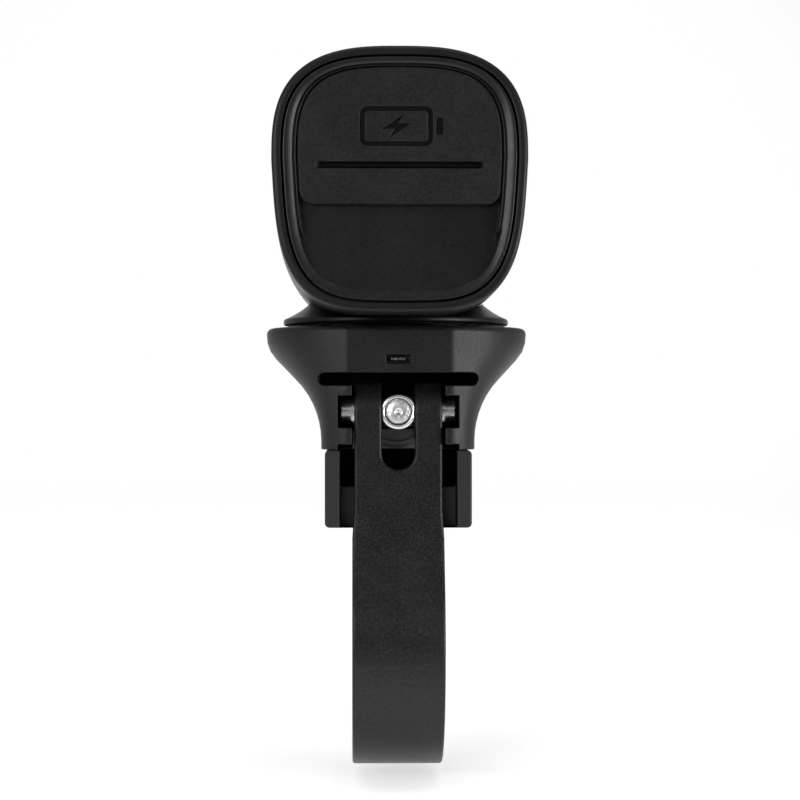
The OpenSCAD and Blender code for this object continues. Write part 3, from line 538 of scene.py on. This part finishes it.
def scoop_depth(z):
    """Depth of the pocket's floor at a height: flat behind the cover, then rising to the rim."""
    t = np.clip((z - SCOOP_LOW) / (SCOOP_TOP - SCOOP_LOW), 0, 1)
    return SCOOP_EDGE_Y + (FLOOR_Y - SCOOP_EDGE_Y) * np.sin(np.pi / 2 * t) ** SCOOP_POWER


def rim_profile():
    """The rim from its outer wall to the pocket, as (inset, y): a crest that rolls inward,
    a sharp crease, and a thin ridge beside the cover."""
    outer = [(CAP_INSET, RIM_FOOT_Y), (CAP_INSET, -26.03), (1.695, -26.09), (1.735, -26.135)]
    roll = [(s, RIM_Y + ROLL_CURVE * (s - RIM_CREST) ** 2)
            for s in np.linspace(RIM_CREST, ROLL_END, 13)]
    crease = [(3.01, -25.78), (3.06, -25.6), (3.14, -25.52)]
    thin = [(3.22, -25.56), (3.28, -25.68), (3.34, -25.78), (3.41, -25.82), (3.48, -25.79),
            (3.54, -25.68), (3.59, -25.45)]
    return outer + roll, crease + thin


def rear_cap():
    rim, inner = rim_profile()
    rings = [ring(SPIGOT_Y, SPIGOT_INSET), ring(RIM_FOOT_Y, SPIGOT_INSET)]
    rim_starts = len(rings)
    for inset, y in rim + inner:
        r = ring(y, inset, lift=POCKET_LIFT * step(CAP_INSET, POCKET_INSET, inset))
        if inset > SPIGOT_INSET:
            floor_y = scoop_depth(r[:, 2])
            if (inset, y) in inner:
                stay = step(*RIDGE_FADE, r[:, 2])
                r[:, 1] = y * stay + (1 - stay) * np.maximum(y, floor_y)
            r[:, 1] = np.minimum(r[:, 1], floor_y)
        rings.append(r)
    edge = ring(0, POCKET_INSET, lift=POCKET_LIFT)
    middle = np.array([0.0, 0.0, SCOOP_MIDDLE_Z])
    for share in (1.0, 0.995, 0.985, 0.97, 0.95, 0.92, 0.88, 0.83, 0.77, 0.7, 0.62, 0.53, 0.43, 0.32,
                  0.2, 0.08):
        r = middle + (edge - middle) * share
        r[:, 1] = scoop_depth(r[:, 2])
        rings.append(r)
    cap = add("rear_cap_skin", *capped(rings), cap_black, SHARP_CAP)
    cap.data.materials.append(rim_black)
    for face in cap.data.polygons:
        face.material_index = int(rim_starts <= face.index // RING_N < len(rim) + rim_starts)
    for mouth, low, high in ((PORT_MOUTH, BEHIND_CAP, PORT_Y), (SOCKET_MOUTH, *SOCKET_CUT)):
        cut(cap, add("tool", *prism(round_rect(*mouth, 0, PORT_Z), low, high, "y"), cap_black), SHARP_CAP)
    place(cap, "head", "gloss_plastic", "rear_cap")


# Port cover: one sheet of rubber with a groove to bend along, built here in a single pose

def cover_half(z):
    """Half width of the cover at a height, with its two lower corners rounded."""
    a = HALF_W - COVER_INSET
    b = np.where(z > WAIST_Z, TOP_H - COVER_INSET + POCKET_LIFT, WAIST - COVER_INSET)
    e = np.where(z > WAIST_Z, TOP_SQUARE, LOW_SQUARE) + INSET_SQUARE * COVER_INSET
    rise = np.abs((z - WAIST_Z) / b)
    narrow = np.where(z > WAIST_Z, 1.0, 1 - LOW_TAPER * rise)
    half = a * np.clip(1 - rise ** e, 0, 1) ** (1 / e) * narrow
    drop = np.clip(TAB_LOW + TAB_CORNER - z, 0, TAB_CORNER)
    return half - TAB_CORNER + np.sqrt(TAB_CORNER ** 2 - drop ** 2)


def charge_sign():
    """A plain battery sign with a bolt in it, as the tool that sinks it into the cover."""
    y0, y1 = COVER_Y - 0.5, COVER_Y + SIGN_DEEP
    out = round_rect(10.6, 5.8, 1.1, SIGN_X, SIGN_Z, 6)
    ins = round_rect(9.1, 4.3, 0.5, SIGN_X, SIGN_Z, 6)
    pole = round_rect(1.1, 2.6, 0.45, 5.75, SIGN_Z, 4)
    bolt = [(x, SIGN_Z + z) for x, z in ((0.6, 1.75), (-2.6, -0.4), (-0.75, -0.4),
                                         (-1.6, -1.75), (1.6, 0.4), (-0.25, 0.4))]
    points, faces = [], []
    for loop in (pole, bolt):
        p, f = prism(loop, y0, y1, "y")
        faces += [tuple(i + len(points) for i in face) for face in f]
        points += list(p)
    n, base = len(out), len(points)
    points += [(x, y, z) for y in (y0, y1) for loop in (out, ins) for x, z in loop]
    for p, q in ((0, 1), (1, 3), (3, 2), (2, 0)):
        faces += [tuple(base + k * n + j for k, j in ((p, i), (p, (i + 1) % n), (q, (i + 1) % n), (q, i)))
                  for i in range(n)]
    return add("tool", points, faces, sign_black)


def cover_grid():
    """The cover's outer face as grids of x, y and z: closer rows at its groove and its ends."""
    top = WAIST_Z + TOP_H - COVER_INSET + POCKET_LIFT
    groove = np.linspace(HINGE_Z - GROOVE_ROWS, HINGE_Z + GROOVE_ROWS, 25)
    low = TAB_LOW + (groove[0] - TAB_LOW) * np.linspace(0, 1, 34)[:-1] ** 1.6
    high = top - (top - groove[-1]) * np.linspace(1, 0, 70)[1:] ** 2.2
    rows = np.concatenate([low, groove, high])
    cols = np.sin(np.linspace(-np.pi / 2, np.pi / 2, 81))
    half = cover_half(rows)
    x = half[:, None] * cols[None, :]
    z = np.repeat(rows[:, None], len(cols), 1)
    rim = np.concatenate([np.stack([half, rows], 1), np.stack([-half, rows], 1),
                          np.stack([np.linspace(-half[0], half[0], 200), np.full(200, rows[0])], 1)])
    gap = np.sqrt(((x[..., None] - rim[:, 0]) ** 2 + (z[..., None] - rim[:, 1]) ** 2).min(-1))
    near = np.clip(COVER_EDGE - gap, 0, COVER_EDGE)
    fall = COVER_EDGE - np.sqrt(np.maximum(COVER_EDGE ** 2 - near ** 2, 0))
    dip = np.sqrt(np.clip(1 - ((z - HINGE_Z) / GROOVE_HALF) ** 2, 0, 1))
    dip = dip * step(GROOVE_RUNOUT, GROOVE_END, np.abs(x))
    return x, COVER_Y + fall + GROOVE_DEEP * dip, z


def port_cover():
    x, y, z = cover_grid()
    shape = x.shape
    nr, nc = shape
    front = np.stack([x, y, z], -1).reshape(-1, 3)
    back = np.stack([x, np.full(shape, COVER_Y + COVER_T), z], -1).reshape(-1, 3)
    index = np.arange(nr * nc).reshape(shape)
    faces = []
    for r in range(nr - 1):
        for c in range(nc - 1):
            q = (index[r, c], index[r, c + 1], index[r + 1, c + 1], index[r + 1, c])
            faces.append(tuple(int(i) for i in q))
            faces.append(tuple(int(i) + nr * nc for i in reversed(q)))
    loop = list(index[0, :]) + list(index[1:, -1]) + list(index[-1, -2::-1]) + list(index[-2:0:-1, 0])
    for a, b in zip(loop, loop[1:] + loop[:1]):
        faces.append((int(b), int(a), int(a) + nr * nc, int(b) + nr * nc))
    cover = add("port_cover_skin", np.concatenate([front, back]), faces, cover_rubber, SHARP_CAP)
    # Painted shade: faces deep in the groove take the darker, duller finish
    cover.data.materials.append(sign_black)
    for face in cover.data.polygons:
        deep = COVER_Y + GROOVE_SHADE[0] < face.center.y / MM < COVER_Y + GROOVE_SHADE[1]
        face.material_index = int(deep and abs(face.center.z / MM - HINGE_Z) < GROOVE_SHADE_HALF)
    cut(cover, charge_sign(), SHARP_CAP)
    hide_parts("port_cover", "port_tab")
    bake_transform(cover)


# Swivel foot

def swivel_foot():
    start = math.radians(FLARE_FROM)
    edge_z = FOOT_Z + FOOT_EDGE
    cx, cz = FOOT_R + FLARE_R * math.sin(start), edge_z + FLARE_R * math.cos(start)
    flare = [(cx - FLARE_R * math.sin(math.radians(a)), cz - FLARE_R * math.cos(math.radians(a)))
             for a in np.linspace(FLARE_FROM, FLARE_TO, 25)]
    edge = [(FOOT_R - 0.3, FOOT_Z), (FOOT_R - 0.09, FOOT_Z + 0.09), (FOOT_R, FOOT_Z + 0.3),
            (FOOT_R, edge_z - 0.25), (FOOT_R - 0.08, edge_z - 0.06)]
    profile = [(NECK_R, NECK_LOW), (NECK_R, FOOT_Z)] + edge + flare[1:]
    c, s = circle(RING_N)
    rings = [np.stack([r * c, SWIVEL_Y + r * s, np.full(RING_N, z)], 1) for r, z in profile]
    foot = add("swivel_foot_skin", *capped(rings), foot_black, SHARP_CAP)
    cut(foot, add("tool", *capped(shell_rings(FOOT_GAP)), foot_black), SHARP_CAP)
    place(foot, "head", "gloss_plastic", "swivel_foot")


# What repeats: the bolt's thread and the ribs on the spring's tip

def node_form(name, sizes, build, finish):
    """A plain mesh made by a geometry tree. sizes holds the tree's named inputs, build adds its nodes."""
    tree = bpy.data.node_groups.new(name, "GeometryNodeTree")
    tree.interface.new_socket("Geometry", in_out="OUTPUT", socket_type="NodeSocketGeometry")
    values = dict(sizes, Finish=finish)
    kinds = {tuple: "NodeSocketVector", int: "NodeSocketInt", float: "NodeSocketFloat"}
    for label, value in values.items():
        kind = kinds.get(type(value), "NodeSocketMaterial")
        tree.interface.new_socket(label, in_out="INPUT", socket_type=kind)
    graph = Graph(tree)
    inputs = graph.node("NodeGroupInput").socket.node.outputs
    given = {socket.name: Val(graph, socket) for socket in inputs}
    shape = graph.node("GeometryNodeRealizeInstances", None, {0: build(graph, given)})
    shape = graph.node("GeometryNodeSetMaterial", None, {"Geometry": shape, "Material": given["Finish"]})
    graph.node("NodeGroupOutput", None, {0: shape})
    piece = link(name, bpy.data.meshes.new(name))
    modifier = piece.modifiers.new(name, "NODES")
    modifier.node_group = tree
    for item in tree.interface.items_tree:
        if item.in_out == "INPUT":
            modifier[item.identifier] = values[item.name]
    return bake(piece)


def thread_nodes(graph, given):
    path = graph.node("GeometryNodeCurveSpiral", None, {
        "Resolution": 20, "Rotations": given["Length"] / given["Pitch"], "Start Radius": given["Radius"],
        "End Radius": given["Radius"], "Height": given["Length"]})
    ridge = graph.node("GeometryNodeCurvePrimitiveCircle", None,
                       {"Resolution": 6, "Radius": given["Ridge"]})
    tube = graph.node("GeometryNodeCurveToMesh", None,
                      {"Curve": path, "Profile Curve": ridge, "Fill Caps": True})
    return graph.node("GeometryNodeTransform", None, {
        "Geometry": tube, "Translation": given["Start"], "Rotation": (-math.pi / 2, 0, 0)})


def rib_nodes(graph, given):
    line = graph.node("GeometryNodeMeshLine", {"mode": "OFFSET"}, {
        "Count": given["Count"], "Start Location": given["Start"], "Offset": given["Step"]})
    rib = graph.node("GeometryNodeMeshCube", None, {"Size": given["Size"]})
    return graph.node("GeometryNodeInstanceOnPoints", None, {"Points": line, "Instance": rib})


def clamp_bolt():
    """The bolt's core with its narrowed, centre-marked tip, and the thread wound on it."""
    core = BOLT_R - 1.2 * THREAD_RIDGE
    face = BOLT_R - 1.2 * TIP_CHAMFER
    tip = [(0.08, 0.42), (0.42, 0.1), (0.56, 0.01), (0.66, 0.0), (1.1, 0.04), (face - 0.06, 0.16),
           (face, 0.19), (core, TIP_CHAMFER + 0.35)]
    profile = [(r, BOLT_TIP + y) for r, y in tip]
    profile += [(core, THREAD_END), (BOLT_R, THREAD_END), (BOLT_R, BOLT_END)]
    c, s = circle(BOLT_N)
    rings = [np.stack([r * c, np.full(BOLT_N, y), BARREL_Z + r * s], 1) for r, y in profile]
    place(add("clamp_bolt_skin", *capped(rings), bright_steel), "knob", "steel", "clamp_bolt")
    start = BOLT_TIP + TIP_CHAMFER + 0.5
    thread = node_form("bolt_thread", {
        "Radius": (BOLT_R - THREAD_RIDGE) * MM, "Pitch": THREAD_PITCH * MM,
        "Length": (THREAD_END - 0.3 - start) * MM, "Ridge": THREAD_RIDGE * MM,
        "Start": (0.0, start * MM, BARREL_Z * MM)}, thread_nodes, zinc_steel)
    place(thread, "knob", "steel")


def spring_ribs():
    """Short upright ribs across the spring's tip, which shows in the bracket's window."""
    pitch = (LEAF_W - RIB_W) / (RIB_COUNT - 1)
    ribs = node_form("spring_ribs", {
        "Count": RIB_COUNT, "Start": ((RIB_W - LEAF_W) / 2 * MM, (LEAF_Y - 0.06) * MM, WINDOW_Z * MM),
        "Step": (pitch * MM, 0.0, 0.0),
        "Size": (RIB_W * MM, RIB_DEEP * MM, LEAF_T * 0.94 * MM)}, rib_nodes, spring_steel)
    place(ribs, "bracket", "steel")


head_shell()
rear_cap()
port_cover()
swivel_foot()
clamp_bolt()
spring_ribs()

# Boxes in millimetres whose faces take a finish of their own, painted shade in the recesses and painted
# light on the ledges, with the rear limit and the finish for each
SHADE_BOXES = {
    "bracket_body": (((-11.0, -14.7, 29.8), (11.0, -2.0, 41.6), -9.0, recess_black),
                     ((-3.5, -6.0, 29.3), (3.5, -2.5, 41.6), -9.0, ledge_black)),
    "saddle_shoe": (((-8.8, -30.0, 23.5), (8.8, 0.0, 30.0), -30.0, recess_black),)}

for node, material, body, slot, edge in (
        ("bracket_body", bracket_black, "bracket", "bracket_plastic", 0.12),
        ("saddle_shoe", shoe_rubber, "bracket", "shoe_rubber", 0.3),
        ("barrel_nut", polished_steel, "bracket", "steel", 0.16),
        ("detent_spring", spring_steel, "bracket", "steel", 0.0),
        ("strap", strap_rubber, "strap", "strap_rubber", 0.4),
        ("clamp_knob", bracket_black, "knob", "bracket_plastic", 0.25),
        ("front_bezel", shell_black, "head", "shell_plastic", 0.0),
        ("heat_sink", fin_metal, "head", "sink_metal", 0.0),
        ("power_button", button_rubber, "power_button", "cover_rubber", 0.2),
        ("button_frame", gloss_black, "head", "gloss_plastic", 0.15),
        ("status_window", window_milk, "head", "lens_clear", 0.0),
        ("lens", lens_clear, "head", "lens_clear", 0.0),
        ("reflector", bowl_mirror, "head", "bowl_mirror", 0.0)):
    skin = softened(node, material, body, slot, edge)
    for recess in SHADE_BOXES.get(node, ()):
        paint_light_and_shade_in_box(skin, *recess)

for material, names in (
        (zinc_steel, ("foot_screws", "pivot_screw", "pivot_washer", "cap_screws", "knob_washer",
                      "socket_shell")),
        (nylon_white, ("swivel_washer",)),
        (cover_rubber, ("lens_seal", "rear_seal")),
        (bracket_black, ("cell_cradle", "push_switch", "socket_tongue")),
        (board_green, ("main_board", "port_board")),
        (board_white, ("led_board",)),
        (phosphor, ("led_emitter",)),
        (cell_wrap, ("battery_cell",))):
    for name in names:
        dress(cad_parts[name].data, material)


# Studio, in metres

SURROUND_TONE = 0.42
SURROUND = ((0.0, SURROUND_TONE), (0.93, SURROUND_TONE), (0.985, 1.0))
FLOOR_LEVEL = -0.0215
FLOOR_GLOW = 0.6
FLOOR_HALF = 8.0
FLOOR_FADE = (0.3, 1.4)
FLAG_LEVEL = -0.0213
FLAG_BACK = -1.5
FLAG_MIDDLE = (0, FLAG_BACK, 0.05)
CAMERA_AT = (-0.006, -0.330, 0.0369)
CAMERA_TURN = math.atan2(0.00622, 0.315)
SENSOR = 36.0
FOCAL_PIXELS = 2115
IMAGE_PIXELS = 800


def upright(half, y, low, high):
    return [(-half, y, low), (half, y, low), (half, y, high), (-half, y, high)]


def level(half, near, far, z):
    return [(-half, near, z), (half, near, z), (half, far, z), (-half, far, z)]


def sheet(name, corners, finish):
    mesh = bpy.data.meshes.new(name)
    mesh.from_pydata(corners, [], [(0, 1, 2, 3)])
    mesh.materials.append(finish.material)
    piece = link(name, mesh)
    return piece


def floor():
    """A pale floor that, far out, takes the tone of the surround behind it, so the horizon is soft."""
    f = Finish("studio_floor", Emission_Strength=FLOOR_GLOW, Specular_IOR_Level=0.0)
    cloud = f.noise(9.0, 2.0)
    depth = f.axis(1)
    reach = f.node("ShaderNodeVectorMath", {"operation": "LENGTH"}, {0: f.place}, out=1)
    far = f.span(reach, *FLOOR_FADE)
    beyond = f.node("ShaderNodeValToRGB", {"stops": SURROUND}, {0: depth / reach * 0.5 + 0.5})
    glow = f.mix(grey(0.85), grey(1.0), f.span(depth, 0.0, 0.2))
    f.feed(Base_Color=f.mix(f.mix(grey(0.84), grey(0.86), cloud), grey(0.0), far),
           Roughness=f.span(cloud, 0, 1, to_low=0.75, to_high=0.85),
           Emission_Color=f.mix(glow, beyond * (1 / FLOOR_GLOW), far))
    sheet("floor", level(FLOOR_HALF, -FLOOR_HALF, FLOOR_HALF, FLOOR_LEVEL), f)


def flag(name, corners, tone):
    """A card that gloss mirrors, so black plastic stays black, but that the camera doesn't see."""
    f = Finish(name, Base_Color=grey(0.0), Specular_IOR_Level=0.0, Emission_Strength=1.0)
    f.feed(Emission_Color=tone(f))
    card = sheet(name, corners, f)
    card.visible_camera = card.visible_diffuse = card.visible_shadow = False


def rear_tone(f):
    reach = f.node("ShaderNodeVectorMath", {"operation": "DISTANCE"}, {0: f.place, 1: FLAG_MIDDLE}, out=1)
    return f.span(reach, 0.4, 0.92, to_low=0.03, to_high=SURROUND_TONE)


def low_tone(f):
    return f.span(f.axis(1), -0.16, -0.03, to_low=0.25, to_high=1.5)


def softbox(name, power, at, aim, width, height):
    light = bpy.data.lights.new(name, "AREA")
    light.energy, light.shape, light.size, light.size_y = power, "RECTANGLE", width, height
    lamp = link(name, light)
    lamp.location = at
    lamp.rotation_euler = (Vector(aim) - Vector(at)).to_track_quat("-Z", "Y").to_euler()


def studio_light():
    """A surround of an even tone, white behind the lamp."""
    world = bpy.data.worlds.new("studio")
    world.use_nodes = True
    bpy.context.scene.world = world
    g = Graph(world.node_tree)
    way = g.node("ShaderNodeTexCoord", out="Generated")
    ahead = g.node("ShaderNodeSeparateXYZ", None, {0: way}, out=1) * 0.5 + 0.5
    tone = g.node("ShaderNodeValToRGB", {"stops": SURROUND}, {0: ahead})
    world.node_tree.links.new(tone.socket, world.node_tree.nodes["Background"].inputs["Color"])
    bpy.context.scene.view_settings.view_transform = "Standard"


floor()
flag("rear_flag", upright(half=1, y=FLAG_BACK, low=-0.02, high=1), rear_tone)
flag("low_flag", level(half=1.5, near=FLAG_BACK, far=-0.02, z=FLAG_LEVEL), low_tone)
studio_light()
softbox("left_box", power=1.0, at=(-0.29, -0.36, 0.13), aim=(0, 0, 0.06), width=0.42, height=0.11)
softbox("right_box", power=1.9, at=(0.46, -0.25, 0.05), aim=(0, 0, 0.05), width=0.34, height=0.12)
softbox("top_box", power=0.8, at=(0, -0.1, 0.6), aim=(0, 0, 0.05), width=0.5, height=0.3)

camera = bpy.data.cameras.new("camera")
camera.sensor_width, camera.lens = SENSOR, SENSOR * FOCAL_PIXELS / IMAGE_PIXELS
camera.clip_start, camera.clip_end = 0.01, 50
eye = link("camera", camera)
eye.location = CAMERA_AT
eye.rotation_euler = (math.pi / 2, 0, -CAMERA_TURN)
bpy.context.scene.camera = eye

bpy.context.view_layer.update()
